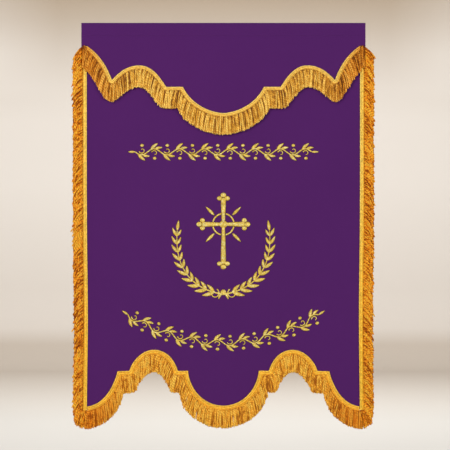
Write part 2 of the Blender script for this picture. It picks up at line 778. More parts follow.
def mesh_of_lofts(name, lofts, uv_name, marks=None):
    """One mesh of many closed tubes.

    Each Loft holds rings of points (tube, ring, corner, xyz), texture places (tube, ring,
    corner + 1, uv) and a tone for each tube. marks gives a value for each point instead.
    """
    points, faces, places, values = [], [], [], []
    start = 0
    for loft in lofts:
        tubes, rings, corners = loft.rings.shape[:3]
        index = start + np.arange(tubes * rings * corners).reshape(tubes, rings, corners)
        ahead = np.roll(index, -1, axis=2)
        quads = np.stack([index[:, :-1], ahead[:, :-1], ahead[:, 1:], index[:, 1:]], axis=-1)
        near, far = loft.uv[:, :, :-1], loft.uv[:, :, 1:]
        quad_places = np.stack([near[:, :-1], far[:, :-1], far[:, 1:], near[:, 1:]], axis=-2)
        faces += quads.reshape(-1, 4).tolist()
        places += quad_places.reshape(-1, 2).tolist()
        for end, order in ((0, -1), (-1, 1)):
            faces += index[:, end, ::order].tolist()
            places += near[:, end, ::order].reshape(-1, 2).tolist()
        points.append(loft.rings.reshape(-1, 3))
        copies = corners if loft.tone.ndim == 2 else rings * corners
        values.append(np.repeat(np.ravel(loft.tone), copies))
        start += tubes * rings * corners
    mesh = bpy.data.meshes.new(name)
    mesh.from_pydata(np.vstack(points).tolist(), [], faces)
    layer = mesh.uv_layers.new(name=uv_name)
    layer.data.foreach_set("uv", np.array(places, np.float32).ravel())
    label = "tone" if marks is None else "lift"
    attribute = mesh.attributes.new(label, "FLOAT", "POINT")
    held = np.concatenate(values) if marks is None else marks
    attribute.data.foreach_set("value", np.asarray(held, np.float32).ravel())
    mesh.shade_smooth()
    return mesh


def tubes_round(centre, across, radius, turn):
    """Rings of points round the centre lines of tubes, each upright on its line."""
    outward = np.array([0.0, -1.0, 0.0])
    wheel = across[:, :, None] * np.cos(turn[:-1, None]) + outward * np.sin(turn[:-1, None])
    return centre[:, :, None] + radius * wheel


def place_piece(mesh, material):
    """Shows a mesh as a piece of the banner that hangs with the rest."""
    mesh.materials.append(material)
    piece = bpy.data.objects.new(mesh.name, mesh)
    bpy.context.scene.collection.objects.link(piece)
    face_outwards(piece)
    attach(piece, "root")
    return piece


def select_only(piece):
    bpy.ops.object.select_all(action="DESELECT")
    piece.select_set(True)
    bpy.context.view_layer.objects.active = piece


def face_outwards(piece):
    """Turns every face of a closed piece to the outside."""
    select_only(piece)
    bpy.ops.object.mode_set(mode="EDIT")
    bpy.ops.mesh.select_all(action="SELECT")
    bpy.ops.mesh.normals_make_consistent(inside=False)
    bpy.ops.object.mode_set(mode="OBJECT")


def cut_sheet(name, columns, rows, shape):
    """A grid shaped into a hanging cloth. shape takes shares across and down, from 0 to 1."""
    bpy.ops.object.select_all(action="DESELECT")
    bpy.ops.mesh.primitive_grid_add(x_subdivisions=columns, y_subdivisions=rows, size=1)
    sheet = bpy.context.active_object
    sheet.name = sheet.data.name = name
    flat = np.zeros(len(sheet.data.vertices) * 3)
    sheet.data.vertices.foreach_get("co", flat)
    flat = flat.reshape(-1, 3)
    placed = shape(flat[:, 0] + 0.5, 0.5 - flat[:, 1])
    sheet.data.vertices.foreach_set("co", placed.ravel())
    layer = sheet.data.uv_layers[0]
    layer.name = "cloth"
    corner = np.zeros(len(sheet.data.loops), np.int32)
    sheet.data.loops.foreach_get("vertex_index", corner)
    layer.data.foreach_set("uv", placed[corner][:, [0, 2]].astype(np.float32).ravel())
    sheet.data.update()
    return sheet


def give_thickness(sheet, thickness):
    """Makes an open sheet a closed cloth of even thickness about its middle plane."""
    select_only(sheet)
    solid = sheet.modifiers.new("thickness", "SOLIDIFY")
    solid.thickness = thickness
    solid.offset = 0.0
    bpy.ops.object.modifier_apply(modifier=solid.name)
    face_outwards(sheet)
    sheet.data.shade_smooth()
    bpy.ops.object.shade_smooth_by_angle(angle=math.radians(40))


def finish_sheet(sheet, solid):
    """Makes a shaped sheet a cloth of the banner, which stands for one of the solids."""
    sheet["cut_area"] = sum(polygon.area for polygon in sheet.data.polygons)
    give_thickness(sheet, CLOTH_THICKNESS)
    sheet.data.materials.append(FINISHES["cloth"])
    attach(sheet, "root")
    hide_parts(solid)


class BANNER_OT_cut_panel(Operator):
    """Cut the main cloth, with its scalloped lower edge"""

    bl_idname = "banner.cut_panel"
    bl_label = "Main cloth"

    def execute(self, context):
        cell = context.scene.banner_cloth.cell
        hidden = HEM_BAND_WIDTH * CLOTH_UNDER_BAND

        def shape(across, down):
            x = (2 * across - 1) * HALF_WIDTH
            drop = down * HEM_LINE.offset(x, hidden)
            return on_cloth(x * (1 - waist(drop) / HALF_WIDTH), drop, 0.0)

        columns, rows = round(2 * HALF_WIDTH / cell), round(-PANEL_LOW.z / cell)
        finish_sheet(cut_sheet("main_cloth", columns, rows, shape), "panel")
        return {"FINISHED"}


class BANNER_OT_cut_valance(Operator):
    """Cut the short front cloth, with its shaped lower edge"""

    bl_idname = "banner.cut_valance"
    bl_label = "Valance"

    def execute(self, context):
        cell = context.scene.banner_cloth.cell
        hidden = VALANCE_BAND_WIDTH * CLOTH_UNDER_BAND
        middle = VALANCE_BACK + CLOTH_THICKNESS / 2

        def shape(across, down):
            x = (2 * across - 1) * HALF_WIDTH
            lower = VALANCE_LINE.offset(x, hidden)
            at_side = np.abs(x) >= VALANCE_SIDE_START_X
            return on_cloth(x, down * np.where(at_side, VALANCE_SIDE_DROP, lower), middle)

        columns, rows = round(2 * HALF_WIDTH / cell), round(-VALANCE_LOW.z / cell)
        finish_sheet(cut_sheet("valance_cloth", columns, rows, shape), "valance")
        return {"FINISHED"}


def band_lift(share):
    """How high the woven band stands, from its upper rim at 0 to its lower rim at 1."""
    return np.interp(share, [rib.across for rib in BAND_RIBS], [rib.lift for rib in BAND_RIBS])


def weave_band(name, front, lift, uv, back):
    """A closed band: a ribbed front (station, row, xyz) and a flat back behind its two rims."""
    rims = front[:, [-1, 0]].copy()
    rims[..., 1] = back
    rings = np.concatenate([front, rims], axis=1)[None]
    turned = np.concatenate([uv, uv[:, [-1, 0, 0]]], axis=1)[None]
    marks = np.concatenate([lift, np.full((len(front), 2), BAND_RIBS[0].lift)], axis=1)
    return mesh_of_lofts(name, [Loft(rings, turned, np.zeros(1))], "yarn", marks)


def edge_band_mesh(name, edge, reach, back, relief):
    """The band that is laid along a shaped edge, mitred where the edge turns."""
    x = edge.stations(reach, BAND_STEP)[:, None]
    share = np.linspace(0, 1, BAND_ROWS)
    upper, lower = edge.upper(x[:, 0])[:, None], edge.lower(x[:, 0])[:, None]
    drop = upper + share * (lower - upper)
    x = np.broadcast_to(x, drop.shape)
    off, along, _ = edge.nearest(x, drop)
    lift = band_lift(off / edge.band_width)
    front = on_cloth(x, drop, back + relief * lift)
    behind = on_cloth(x[:, [-1, 0]], drop[:, [-1, 0]], back)[..., 1]
    uv = np.stack([along, off - edge.band_width / 2], axis=-1)
    return weave_band(name, front, lift, uv, behind)


def side_band_mesh(name, side, relief):
    """The straight band that runs down one side edge."""
    count = round((SIDE_BAND_BOTTOM_DROP - SIDE_BAND_TOP_DROP) / BAND_STEP)
    drop = np.linspace(SIDE_BAND_TOP_DROP, SIDE_BAND_BOTTOM_DROP, count)[:, None]
    share = np.linspace(0, 1, BAND_ROWS)
    x = side * (SIDE_BAND_INNER_X - waist(drop) + share * SIDE_BAND_WIDTH)
    drop = np.broadcast_to(drop, x.shape)
    lift = np.broadcast_to(band_lift(share), x.shape)
    front = on_cloth(x, drop, EDGE_BAND_BACK + relief * lift)
    behind = on_cloth(x[:, [-1, 0]], drop[:, [-1, 0]], EDGE_BAND_BACK)[..., 1]
    uv = np.stack(np.broadcast_arrays(drop, (share - 0.5) * SIDE_BAND_WIDTH), axis=-1)
    return weave_band(name, front, lift, uv, behind)


def jitter(chance, size, reach):
    """Chance offsets about zero, none of them far out."""
    return reach * np.clip(chance.normal(0, 1, size), -1.5, 1.5)


def share_out(run, row, fringe, look, chance):
    """Places for a row of strands along a run, drawn together in clumps at their roots."""
    count = int(row.crowd * run / fringe.pitch)
    index = np.repeat(np.arange(count), chance.integers(2, 5, count))[:count]
    order = np.arange(count)
    apart = order - (np.bincount(index, weights=order) / np.bincount(index))[index]
    drawn = order + 0.5 - look.gather * row.scatter * apart
    return Clumps(np.clip(drawn, 0, count) * run / count, index, apart)


def strand_angles(roots, fringe, row, look, chance):
    """How far each strand stands off straight down along its length."""
    count = len(roots.x)
    stray = row.scatter * look.stray
    spread = roots.spread * TIP_SPREAD * roots.clumps.apart * fringe.pitch / roots.length
    start = roots.start + stray * jitter(chance, count, START_STRAY)
    end = roots.end + row.scatter * spread
    own = jitter(chance, count, END_STRAY)
    end = end + stray * (own + jitter(chance, count, CLUMP_STRAY)[roots.clumps.index])
    share = np.array(STRAND_STATIONS)
    return end[:, None] + (start - end)[:, None] * (1 - share) ** DROOP_POWER


def strand_tones(roots, row, look, chance):
    """The tone of each strand along its length, from deep at 0 to light at 1."""
    count, share = len(roots.x), np.array(STRAND_STATIONS)
    own = jitter(chance, count, OWN_TONE) + jitter(chance, count, CLUMP_TONE)[roots.clumps.index]
    flecks = look.fleck * jitter(chance, (count, len(share)), 1.0)
    layer = row.tone * (1 - 0.6 * smooth_step((share - 0.45) / 0.4))
    tone = 0.5 + layer + look.contrast * (own[:, None] + flecks) + look.shade * (share - 0.5)
    tone = tone - roots.dark[:, None] * (1 - smooth_step((share - 0.15) / 0.5))
    return np.clip(tone + look.tip * smooth_step((share - 0.86) * 8), 0, 1)


def hang_strands(roots, fringe, row, look, chance):
    """One row of twisted strands from their roots, each a tube that tapers at its tip."""
    count = len(roots.x)
    share = np.array(STRAND_STATIONS)
    angle = strand_angles(roots, fringe, row, look, chance)
    lengths = roots.length * (1 + jitter(chance, count, look.raggedness))
    step = lengths[:, None] * np.diff(share)
    middle = (angle[:, 1:] + angle[:, :-1]) / 2
    start = ((0, 0), (1, 0))
    x = roots.x[:, None] + np.pad(np.cumsum(step * np.sin(middle), axis=1), start)
    drop = roots.drop[:, None] + np.pad(np.cumsum(step * np.cos(middle), axis=1), start)
    wobble = chance.uniform(0, 2 * math.pi, count)[:, None] + CRINKLE_TURN * share
    x = x + CRINKLE * share * np.sin(wobble) * np.cos(angle)
    layer = chance.uniform(0, 0.5, count) + chance.uniform(0, 0.5, count)[roots.clumps.index]
    forward = roots.back + fringe.radius + row.forward * smooth_step(share / 0.3)
    forward = forward + LAYER_DEPTH * layer[:, None] * share + CRINKLE * np.cos(wobble) * share
    centre = on_cloth(x, drop, forward)
    thickness = row.thickness * chance.uniform(*THICKNESS_RANGE, count)[:, None]
    radius = fringe.radius * thickness * np.array(STRAND_SWELL)
    turn = np.linspace(0, 2 * math.pi, STRAND_SIDES + 1)
    across = np.stack([np.cos(angle), np.zeros_like(angle), np.sin(angle)], axis=-1)
    rings = tubes_round(centre, across, radius[:, :, None, None], turn)
    walked = share[None, :, None] * lengths[:, None, None]
    round_it = turn / (2 * math.pi) + chance.uniform(0, 1, count)[:, None, None]
    uv = np.stack(np.broadcast_arrays(round_it, walked), axis=-1)
    return Loft(rings, uv, strand_tones(roots, row, look, chance))


def edge_strands_mesh(name, edge, reach, back, fringe, look, seed):
    """Strands below a band on a shaped edge, which lean out where the edge slopes."""
    chance = np.random.default_rng(seed)
    x = np.linspace(-reach, reach, RIM_SAMPLES)
    rim = np.stack([x, edge.lower(x)], axis=-1)
    walked = lengths_along(rim * (1, SLOPE_CROWD))
    shifts = np.linspace(-EDGE_LEAN_REACH, EDGE_LEAN_REACH, LEAN_SAMPLES)
    rows = []
    for row in STRAND_ROWS:
        clumps = share_out(walked[-1], row, fringe, look, chance)
        root_x, root_drop = (np.interp(clumps.place, walked, rim[:, axis]) for axis in (0, 1))
        lean = np.zeros(len(root_x))
        for shift in shifts:
            near = np.clip(clumps.place + shift, 0, walked[-1])
            near_x, near_drop = (np.interp(near, walked, rim[:, axis]) for axis in (0, 1))
            _, _, away = edge.nearest(near_x, near_drop)
            lean += np.arctan2(away[:, 0], away[:, 1]) / len(shifts)
        lean *= smooth_step((reach - np.abs(root_x)) / END_LEAN_REACH)
        lean *= np.where(lean * root_x > 0, OUTWARD_LEAN, 1.0)
        start, end = EDGE_START_LEAN * lean, EDGE_END_LEAN * lean
        rise = look.end_rise * smooth_step((np.abs(root_x) - END_RISE_START) / END_RISE_REACH)
        lengths = fringe.length + EDGE_TUCK_ALLOWANCE + rise
        root_drop = root_drop - rise - EDGE_ROOT_TUCK
        dark = look.parting * smooth_step((np.abs(root_x) - PARTING_START) / PARTING_WIDTH)
        roots = Roots(root_x, root_drop, start, end, lengths, back, clumps, 1, dark)
        rows.append(hang_strands(roots, fringe, row, look, chance))
    return mesh_of_lofts(name, rows, "yarn")


def side_strands_mesh(name, side, fringe, look, seed):
    """Strands that stand out from a side band, droop, and fan round its lower corner."""
    chance = np.random.default_rng(seed)
    run = SIDE_BAND_BOTTOM_DROP - SIDE_BAND_TOP_DROP
    turn = CORNER_CROWD * SIDE_BAND_WIDTH
    rows = []
    for row in STRAND_ROWS:
        clumps = share_out(run + turn, row, fringe, look, chance)
        drop = SIDE_BAND_TOP_DROP + np.minimum(clumps.place, run)
        round_corner = np.clip((clumps.place - run) / turn, 0, 1)
        raised = smooth_step((drop - SIDE_BAND_TOP_DROP) / SIDE_SHOULDER)
        turned = smooth_step(1 - (SIDE_BAND_BOTTOM_DROP - drop) / CORNER_FAN_REACH)
        slack = (0.95 + 0.05 * raised) * (1 - 0.2 * turned) * (1 - round_corner)
        start = side * np.radians(SIDE_START_ANGLE) * slack
        end = side * np.radians(SIDE_END_ANGLE) * slack
        x = SIDE_BAND_INNER_X - waist(drop) + (SIDE_BAND_WIDTH - SIDE_ROOT_TUCK) * (1 - round_corner)
        drop = drop - EDGE_ROOT_TUCK * smooth_step(4 * round_corner)
        below = smooth_step(turned)
        lengths = fringe.side_length * (1 - below) + fringe.length * below
        lengths *= 1 - CORNER_TRIM * turned * (1 - round_corner) ** 3
        dark = look.parting * (1 - raised)
        roots = Roots(side * x, drop, start, end, lengths, EDGE_BAND_BACK, clumps, -side, dark)
        rows.append(hang_strands(roots, fringe, row, look, chance))
    return mesh_of_lofts(name, rows, "yarn")


def sew_line_mesh(name, lines, facing=1):
    """Rows of short stitches, on the face or, facing -1, on the back.

    Each line is points (x, drop, forward) along a band or a seam.
    """
    share = np.array([0.0, 0.25, 0.75, 1.0])
    arch = np.array([-0.0003, 0.00022, 0.00022, -0.0003])
    turn = np.linspace(0, 2 * math.pi, 5)
    lofts = []
    for line in lines:
        walked = lengths_along(line[:, :2])
        starts = np.arange(STITCH_PITCH, walked[-1] - STITCH_PITCH, STITCH_PITCH)
        places = starts[:, None] + share * STITCH_LENGTH
        x, drop, forward = (np.interp(places, walked, line[:, axis]) for axis in (0, 1, 2))
        centre = on_cloth(x, drop, forward + facing * arch)
        ahead = np.gradient(np.stack([x, drop], axis=-1), axis=1)
        ahead /= np.linalg.norm(ahead, axis=-1, keepdims=True)
        aside = np.stack([-ahead[..., 1], 0 * x, -ahead[..., 0]], axis=-1)
        rings = tubes_round(centre, aside, STITCH_RADIUS, turn)
        uv = np.stack(np.broadcast_arrays(places[:, :, None], STITCH_RADIUS * turn), axis=-1)
        lofts.append(Loft(rings, uv, np.full((len(starts), len(share)), 0.5)))
    return mesh_of_lofts(name, lofts, "yarn")


def line_of(x, drop, forward):
    """Points (x, drop, forward) of a line of stitches."""
    return np.stack(np.broadcast_arrays(x, drop, forward), axis=-1)


def side_band_x(side, drop, across):
    """Where a share of the way across a side band lies."""
    return side * (SIDE_BAND_INNER_X - waist(drop) + across * SIDE_BAND_WIDTH)


def sew_edge_band(name, edge, reach, back, relief):
    """Two rows of stitches that hold a band to a shaped edge."""
    x = np.linspace(-reach, reach, EDGE_SEAM_SAMPLES)
    lines = [
        line_of(x, edge.offset(x, across * edge.band_width), back + relief * band_lift(across))
        for across in STITCH_ROWS
    ]
    return sew_line_mesh(name, lines)


def sew_side_band(name, side, relief):
    """Two rows of stitches that hold a side band."""
    drop = np.linspace(SIDE_BAND_TOP_DROP + SEAM_INSET, SIDE_BAND_BOTTOM_DROP, SIDE_SEAM_SAMPLES)
    lines = [
        line_of(side_band_x(side, drop, across), drop, EDGE_BAND_BACK + relief * band_lift(across))
        for across in STITCH_ROWS
    ]
    return sew_line_mesh(name, lines)


def back_seam_lines():
    """Where the stitches that hold the hem and side fringes come out behind."""
    x = np.linspace(-HEM_REACH, HEM_REACH, EDGE_SEAM_SAMPLES)
    low = SIDE_BAND_BOTTOM_DROP - HEM_BAND_WIDTH
    drop = np.linspace(SIDE_BAND_TOP_DROP + SEAM_INSET, low, SIDE_SEAM_SAMPLES)
    lines = []
    for across in BACK_STITCH_ROWS:
        lines.append(line_of(x, HEM_LINE.offset(x, across * HEM_BAND_WIDTH), -PANEL_FRONT))
        for side in (-1, 1):
            lines.append(line_of(side_band_x(side, drop, across), drop, -PANEL_FRONT))
    return lines


def top_seam_lines():
    """The two rows of stitches that join the cloths along the top edge."""
    x = np.linspace(-HALF_WIDTH, HALF_WIDTH, TOP_SEAM_SAMPLES)
    return [line_of(x, drop, VALANCE_BACK + CLOTH_THICKNESS) for drop in TOP_SEAM_DROPS]


def trim_with(tone, parts, replaced):
    """Places a band, its strands and its stitches, which stand for one fringe solid."""
    band, strands, stitches = parts
    shown = place_piece(band, FINISHES[tone + "_band"])
    place_piece(strands, FINISHES[tone + "_strands"])
    place_piece(stitches, FINISHES["sewing"])
    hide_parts(replaced)
def trim_edge(tone, edge, reaches, back, fringe, look, seed):
    """Sews a fringe along a shaped edge. reaches says how far its band and its strands run."""
    reach, strands_reach = reaches
    parts = (
        edge_band_mesh(tone + "_band", edge, reach, back, fringe.relief),
        edge_strands_mesh(tone + "_strands", edge, strands_reach, back, fringe, look, seed),
        sew_edge_band(tone + "_band_stitches", edge, reach, back, fringe.relief),
    )
    trim_with(tone, parts, tone + "_fringe")


class BANNER_OT_trim_valance(Operator):
    """Sew the gold fringe along the valance"""

    bl_idname = "banner.trim_valance"
    bl_label = "Valance fringe"

    def execute(self, context):
        fringe = context.scene.banner_fringe
        reaches = (VALANCE_REACH, PARTING_REACH)
        seed = fringe.seed
        trim_edge("valance", VALANCE_LINE, reaches, VALANCE_BAND_BACK, fringe, VALANCE_LOOK, seed)
        return {"FINISHED"}


class BANNER_OT_trim_hem(Operator):
    """Sew the gold fringe along the scalloped hem"""

    bl_idname = "banner.trim_hem"
    bl_label = "Hem fringe"

    def execute(self, context):
        fringe = context.scene.banner_fringe
        reaches = (HEM_REACH, HEM_STRANDS_REACH)
        seed = fringe.seed + 1
        trim_edge("hem", HEM_LINE, reaches, EDGE_BAND_BACK, fringe, HEM_LOOK, seed)
        return {"FINISHED"}


class BANNER_OT_trim_sides(Operator):
    """Sew the gold fringe down both side edges"""

    bl_idname = "banner.trim_sides"
    bl_label = "Side fringes"

    def execute(self, context):
        fringe = context.scene.banner_fringe
        for word, side in (("left", -1), ("right", 1)):
            band, strands = f"side_band_{word}", f"side_strands_{word}"
            seed = fringe.seed + 17 + 4 * side
            parts = (
                side_band_mesh(band, side, fringe.relief),
                side_strands_mesh(strands, side, fringe, SIDE_LOOK, seed),
                sew_side_band(band + "_stitches", side, fringe.relief),
            )
            trim_with("side", parts, f"side_fringe_{word}")
        return {"FINISHED"}


class BANNER_OT_sew_seams(Operator):
    """Sew the seams that show on the back and along the top edge"""

    bl_idname = "banner.sew_seams"
    bl_label = "Seams"

    def execute(self, context):
        behind = sew_line_mesh("back_seams", back_seam_lines(), facing=-1)
        place_piece(behind, FINISHES["seam"])
        top = sew_line_mesh("top_seam", top_seam_lines())
        place_piece(top, FINISHES["seam"])
        return {"FINISHED"}


# Embroidery: strokes are lines in millimetres, across and up from their motif's middle
Stroke = namedtuple("Stroke", "line widths")


def even(points, count=STROKE_STATIONS):
    """A line's points again, evenly spaced."""
    walked = lengths_along(np.asarray(points, float))
    wanted = np.linspace(0, walked[-1], count)
    return np.stack([np.interp(wanted, walked, np.asarray(points)[:, k]) for k in (0, 1)], axis=-1)


def stem(points, root, tip):
    """A stroke that thins evenly from its root to its tip."""
    return Stroke(even(points), np.linspace(root, tip, STROKE_STATIONS))


def leaf(root, angle, length, width, bend=0.0):
    """A pointed leaf from its root, at an angle in degrees, which may bend sideways."""
    share = np.linspace(0, 1, STROKE_STATIONS)
    turn = np.radians(angle + bend * share)
    steps = np.stack([np.cos(turn), np.sin(turn)], axis=-1) * length / (STROKE_STATIONS - 1)
    line = np.array(root, float) + np.vstack([[0, 0], np.cumsum(steps[:-1], axis=0)])
    return Stroke(line, np.maximum(width * np.sin(math.pi * share**0.8) ** 0.8, 0.25))


def dot(middle, radius):
    """A round padded spot."""
    share = np.linspace(-0.995, 0.995, STROKE_STATIONS)
    line = np.array(middle, float) + np.stack([share * radius, 0 * share], axis=-1)
    return Stroke(line, 2 * radius * np.sqrt(1 - share**2))


def arc(middle, radius, start, end):
    """Points of an arc, its angles in degrees from across."""
    turn = np.radians(np.linspace(start, end, STROKE_STATIONS * 2))
    return np.array(middle, float) + radius * np.stack([np.cos(turn), np.sin(turn)], axis=-1)


def curl(middle, outer, inner, start, end):
    """Points of a spiral that winds inwards."""
    share = np.linspace(0, 1, STROKE_STATIONS * 2)
    turn = np.radians(start + (end - start) * share)
    reach = (outer + (inner - outer) * share)[:, None]
    return np.array(middle, float) + reach * np.stack([np.cos(turn), np.sin(turn)], axis=-1)


def mirrored(strokes):
    """The strokes with their mirror images across the middle."""
    return strokes + [Stroke(stroke.line * (-1, 1), stroke.widths) for stroke in strokes]


def cross_strokes():
    """A cross with flared arms and three round lobes at each end."""
    middle, reach, drawn = np.array([0.0, 58.0]), (60.0, 74.0, 60.0, 112.0), []
    for index, length in enumerate(reach):
        turn = math.radians(90 * index)
        ahead = np.array([math.cos(turn), math.sin(turn)])
        aside = np.array([-ahead[1], ahead[0]])
        tip = middle + ahead * length
        drawn.append(stem([middle + ahead * 6, tip], 10.0, 17.0))
        drawn.append(dot(tip + ahead * 8, 7.8))
        drawn.append(dot(tip + aside * 11 - ahead * 1, 7.0))
        drawn.append(dot(tip - aside * 11 - ahead * 1, 7.0))
    for start in (0, 90, 180, 270):
        ring = even(arc(middle, 30, start + 13, start + 77))
        drawn.append(Stroke(ring, np.full(STROKE_STATIONS, 5.0)))
    for angle in (45, 135, 225, 315):
        turn = math.radians(angle)
        root = middle + 36 * np.array([math.cos(turn), math.sin(turn)])
        drawn.append(leaf(root, angle, 34, 9.0))
    drawn.append(dot(middle, 11.5))
    return drawn


def spray_strokes():
    """Two leafy sprays that cross below and rise on either side of the cross."""
    stalk = bezier([(10, -140), (-80, -132), (-140, -74), (-130, 40)], 60)
    drawn = [stem(stalk, 5.4, 2.8)]
    walked = lengths_along(stalk)
    pairs = 10
    for index in range(pairs):
        place = walked[-1] * (0.14 + 0.80 * index / (pairs - 1))
        root = np.array([np.interp(place, walked, stalk[:, k]) for k in (0, 1)])
        ahead = np.array([np.interp(place + 2, walked, stalk[:, k]) for k in (0, 1)]) - root
        heading = math.degrees(math.atan2(ahead[1], ahead[0]))
        size = 36 - 9 * index / (pairs - 1)
        drawn.append(leaf(root, heading + 36, size, size * 0.34, bend=-14))
        drawn.append(leaf(root, heading - 38, size * 0.84, size * 0.31, bend=14))
    drawn.append(leaf(stalk[-1], 82, 30, 10.0))
    return mirrored(drawn)


def tie_strokes():
    """The knot and curled ends that hold the two sprays together."""
    drawn = [stem(curl((-25, -137), 14, 4, 60, -320), 4.2, 2.6)]
    drawn.append(leaf((-4, -134), 232, 22, 7.5, bend=24))
    return mirrored(drawn) + [dot((0, -133), 8.0)]


def vine_strokes(half_length):
    """A waving stem with a leaf, a curl and a berry in each wave."""
    wave, rise = 71.0, 8.5
    reach = half_length / MILLIMETRE
    waves = int(2 * reach / wave)
    start = -waves * wave / 2
    drawn = []
    for index in range(2 * waves):
        share = np.linspace(0, 1, STROKE_STATIONS)
        up = 1 if index % 2 else -1
        left = start + index * wave / 2
        across = left + share * wave / 2
        line = np.stack([across, up * rise * np.sin(math.pi * share)], axis=-1)
        drawn.append(Stroke(line, np.full(STROKE_STATIONS, 4.2)))
        drawn.append(leaf((left + 9, up * rise * 0.7), 56 * up, 27, 10.0, bend=-28 * up))
        drawn.append(leaf((left + 21, up * rise * 0.98), 24 * up, 21, 8.4, bend=-30 * up))
        inner = curl((left + 19.5, -up * 4.0), 9.0, 3.0, 200 if up < 0 else 160, 200 + 300 * -up)
        drawn.append(stem(inner, 3.4, 2.4))
        drawn.append(dot((left + 19.5, -up * 18.0), 4.8))
    drawn.append(leaf((start, 0), 180, 20, 7.0))
    drawn.append(leaf((-start, 0), 0, 20, 7.0))
    return drawn


def stitch_strokes(name, strokes, place, relief, seed):
    """Raises strokes as padded satin stitch on the cloth. place turns across and up into x and drop."""
    chance = np.random.default_rng(seed)
    across = np.linspace(-1, 1, STROKE_SIDES)
    line = np.array([stroke.line for stroke in strokes]) * MILLIMETRE
    width = np.array([stroke.widths for stroke in strokes]) * MILLIMETRE
    ahead = np.gradient(line, axis=1)
    ahead /= np.maximum(np.linalg.norm(ahead, axis=-1, keepdims=True), 1e-9)
    aside = np.stack([-ahead[..., 1], ahead[..., 0]], axis=-1)
    flat = line[:, :, None] + aside[:, :, None] * (across * 0.5)[:, None] * width[..., None, None]
    x, drop = place(flat[..., 0], flat[..., 1])
    height = np.minimum(relief, 0.42 * width)[..., None] * np.sqrt(1 - across**2)
    rings = on_cloth(x, drop, PANEL_FRONT - 0.0001 + height)
    steps = np.linalg.norm(np.diff(line, axis=1), axis=-1)
    walked = np.pad(np.cumsum(steps, axis=1), ((0, 0), (1, 0)))
    closed = np.append(across, across[0])
    uv = np.stack(np.broadcast_arrays(walked[..., None], width[..., None] * closed * 0.5), axis=-1)
    crown = np.broadcast_to(1 - across**2, rings.shape[:3])
    crown = np.clip(crown + jitter(chance, rings.shape[:2], 0.12)[..., None], 0, 1)
    return mesh_of_lofts(name, [Loft(rings, uv, np.zeros(len(strokes)))], "yarn", crown)


def edged(stroke):
    """A stroke a little wider and longer all round, for the dark cord that edges it."""
    line = stroke.line.copy()
    for end, inner in ((0, 1), (-1, -2)):
        ahead = line[end] - line[inner]
        line[end] += OUTLINE_WIDTH * ahead / max(np.linalg.norm(ahead), 1e-6)
    return Stroke(line, stroke.widths + 2 * OUTLINE_WIDTH)


def embroider(name, strokes, place, relief, seed):
    """Stitches a motif: a low dark edging, and the padded gold strokes on it."""
    edging = stitch_strokes(
        name + "_edging", [edged(stroke) for stroke in strokes], place, relief * EDGING_RELIEF, seed
    )
    place_piece(edging, FINISHES["outline"])
    raised = stitch_strokes(name, strokes, place, relief, seed)
    place_piece(raised, FINISHES["stitching"])


class BANNER_OT_stitch_emblem(Operator):
    """Embroider the cross between two leafy sprays"""

    bl_idname = "banner.stitch_emblem"
    bl_label = "Emblem"

    def execute(self, context):
        def place(across, up):
            return across, EMBLEM_DROP - up

        strokes = cross_strokes() + spray_strokes() + tie_strokes()
        relief = context.scene.banner_stitching.relief
        embroider("emblem", strokes, place, relief, seed=3)
        return {"FINISHED"}


class BANNER_OT_stitch_vines(Operator):
    """Embroider the straight vine above the emblem and the bowed one below it"""

    bl_idname = "banner.stitch_vines"
    bl_label = "Vines"

    def execute(self, context):
        def straight(across, up):
            return across, UPPER_VINE_DROP - up

        def bowed(across, up):
            turn = across / LOWER_VINE_RADIUS
            reach = LOWER_VINE_RADIUS - up
            centre = LOWER_VINE_DROP - LOWER_VINE_RADIUS
            return reach * np.sin(turn), centre + reach * np.cos(turn)

        relief = context.scene.banner_stitching.relief
        for name, place, half_length in (
            ("upper_vine", straight, VINE_HALF_LENGTH),
            ("lower_vine", bowed, LOWER_VINE_HALF_LENGTH),
        ):
            embroider(name, vine_strokes(half_length), place, relief, seed=5)
        return {"FINISHED"}


# Studio
PHOTO_PIXELS = 450
METRES_PER_PIXEL = 0.800 / 284
CAMERA_LENS_MM = 135.0
SENSOR_MM = 36.0
BANNER_MIDDLE_PIXEL = 223.4
TOP_EDGE_PIXEL = 23.0
WALL_FOOT_PIXEL = 365.0
WALL_DISTANCE = 6.4
FLOOR_SIZE = 28
WALL_HEIGHT = 9
COVE_WIDTH = 0.5
COVE_STEPS = 12

# The wall's shade is less far out near its top: from where to where, and by how much
WALL_SIDE_FADE = (1.10, 1.46)
WALL_TOP_FADE = (1.75, 2.05)
WALL_SIDE_LESS = 0.19

# Soft lights that look at the banner's middle, with the setting that holds each one's power
SoftLight = namedtuple("SoftLight", "name place size setting")
LIGHTS = (
    SoftLight(name="key", place=(-2.4, -3.4, 1.0), size=(2.2, 2.2), setting="key_power"),
    SoftLight(name="fill", place=(3.0, -3.2, -0.3), size=(2.6, 2.6), setting="fill_power"),
    SoftLight(name="back", place=(0.5, 4.2, 1.8), size=(2.4, 2.4), setting="fill_power"),
)
WALL_LIGHT_PLACE = (0, 2.0, 2.4)
WALL_LIGHT_SIZE = (7.0, 1.5)
AIR_COLOUR = (1.0, 0.97, 0.93, 1.0)


def add_area_light(name, place, aim, size, power):
    """A soft light of some width and height that looks at a point."""
    light = bpy.data.lights.new(name, "AREA")
    light.shape = "RECTANGLE"
    light.size, light.size_y = size
    light.energy = power
    lamp = bpy.data.objects.new(name, light)
    lamp.location = place
    lamp.rotation_euler = (Vector(aim) - Vector(place)).to_track_quat("-Z", "Y").to_euler()
    bpy.context.scene.collection.objects.link(lamp)


